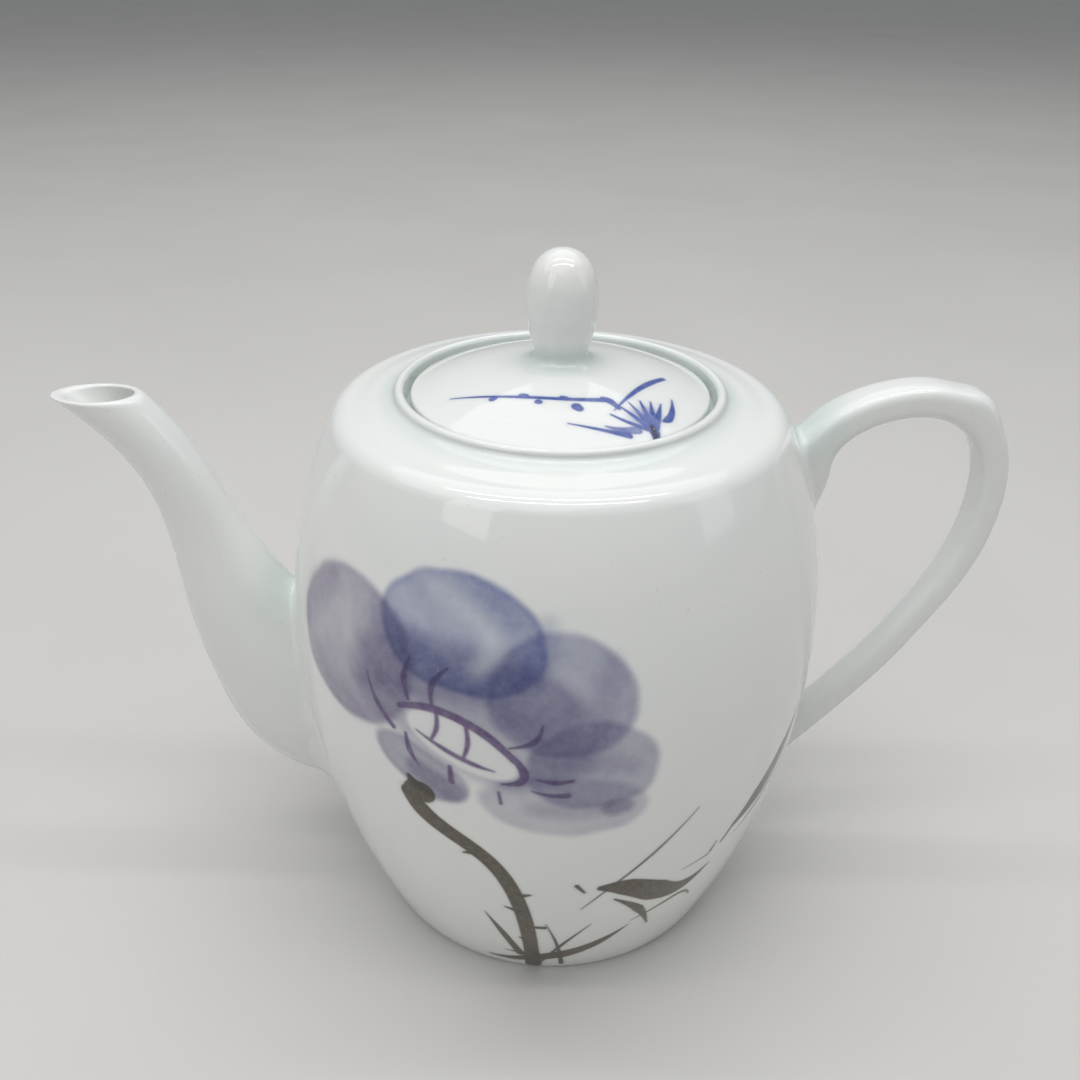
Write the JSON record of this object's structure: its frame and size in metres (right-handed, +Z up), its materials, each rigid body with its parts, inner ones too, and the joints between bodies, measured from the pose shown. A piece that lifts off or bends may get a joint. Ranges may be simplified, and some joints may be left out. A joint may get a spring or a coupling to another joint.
{
  "type": "teapot",
  "caption": "Barrel-shaped porcelain teapot with a swan-neck spout, an ear-shaped strap handle and a domed lid with an egg knob seated inside a raised collar.",
  "frame": {"origin": "on the surface that the pot stands on, midway between the spout's tip and the back of the handle in X and on the plane of symmetry in Y; the pot's own vertical axis is at X = +5.7 mm", "axes": "+Z up, +X from the spout towards the handle, and the painted side faces -Y"},
  "size_m": [0.2332, 0.1346, 0.1776],
  "materials": {
    "painted_porcelain": "clear high gloss glaze with a faint green-blue tint over white porcelain and underglaze brush painting",
    "white_porcelain": "clear high gloss glaze with a faint green-blue tint over white porcelain"
  },
  "bodies": {
    "pot": {"pot_base": "painted_porcelain", "pot_wall_low": "painted_porcelain", "pot_wall_high": "painted_porcelain", "pot_shoulder": "painted_porcelain", "spout": "white_porcelain", "handle": "white_porcelain"},
    "lid": {"lid": "painted_porcelain", "lid_ring": "painted_porcelain", "lid_knob": "white_porcelain"}
  },
  "joints": [
    {"name": "lid_lift", "type": "slide", "parent": "pot", "child": "lid", "axis": [0, 0, 1], "range_m": [0, 0.035]}
  ]
}
